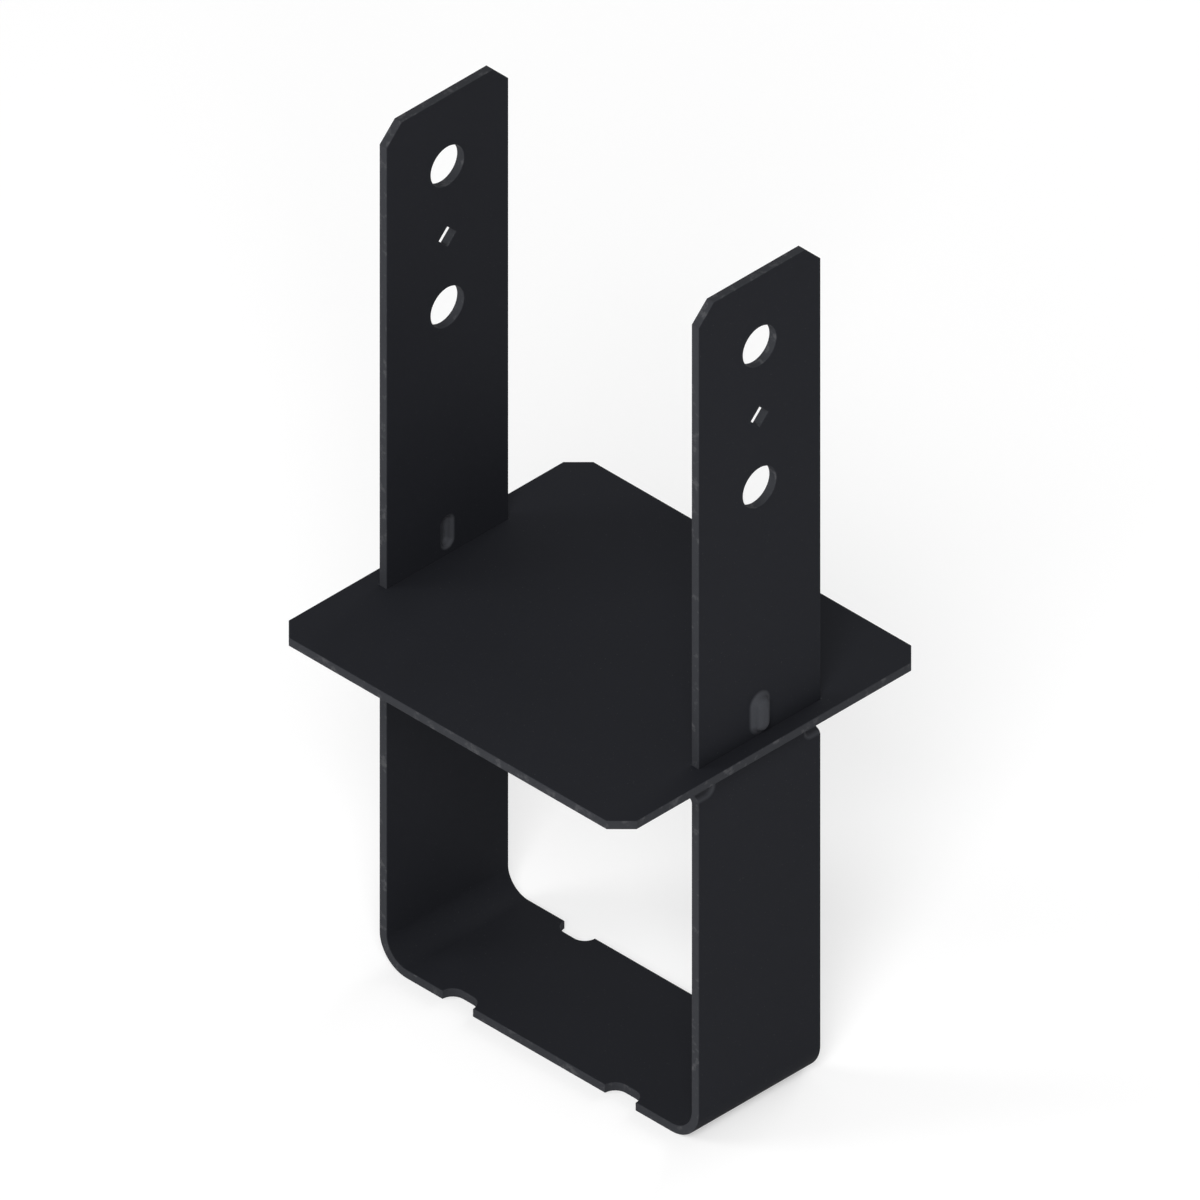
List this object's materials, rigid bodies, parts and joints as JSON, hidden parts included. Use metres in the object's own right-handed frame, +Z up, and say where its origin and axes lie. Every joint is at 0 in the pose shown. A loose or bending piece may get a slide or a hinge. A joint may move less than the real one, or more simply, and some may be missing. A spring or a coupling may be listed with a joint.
{
  "type": "column base",
  "caption": "Raised steel column base: a strap bent into a square U for the post, with a slotted bearing plate held between pressed stops.",
  "frame": {"origin": "middle of the underside of the foot, on the ground plane", "axes": "+Z up the legs, +X from the left leg to the right leg, +Y along the width of the strap"},
  "size_m": [0.2176, 0.1906, 0.4525],
  "materials": {
    "strap_coating": "near-black powder coat, low gloss",
    "plate_coating": "near-black powder coat, low gloss"
  },
  "bodies": {
    "root": {"u_strap": "strap_coating", "base_plate": "plate_coating"}
  },
  "joints": []
}
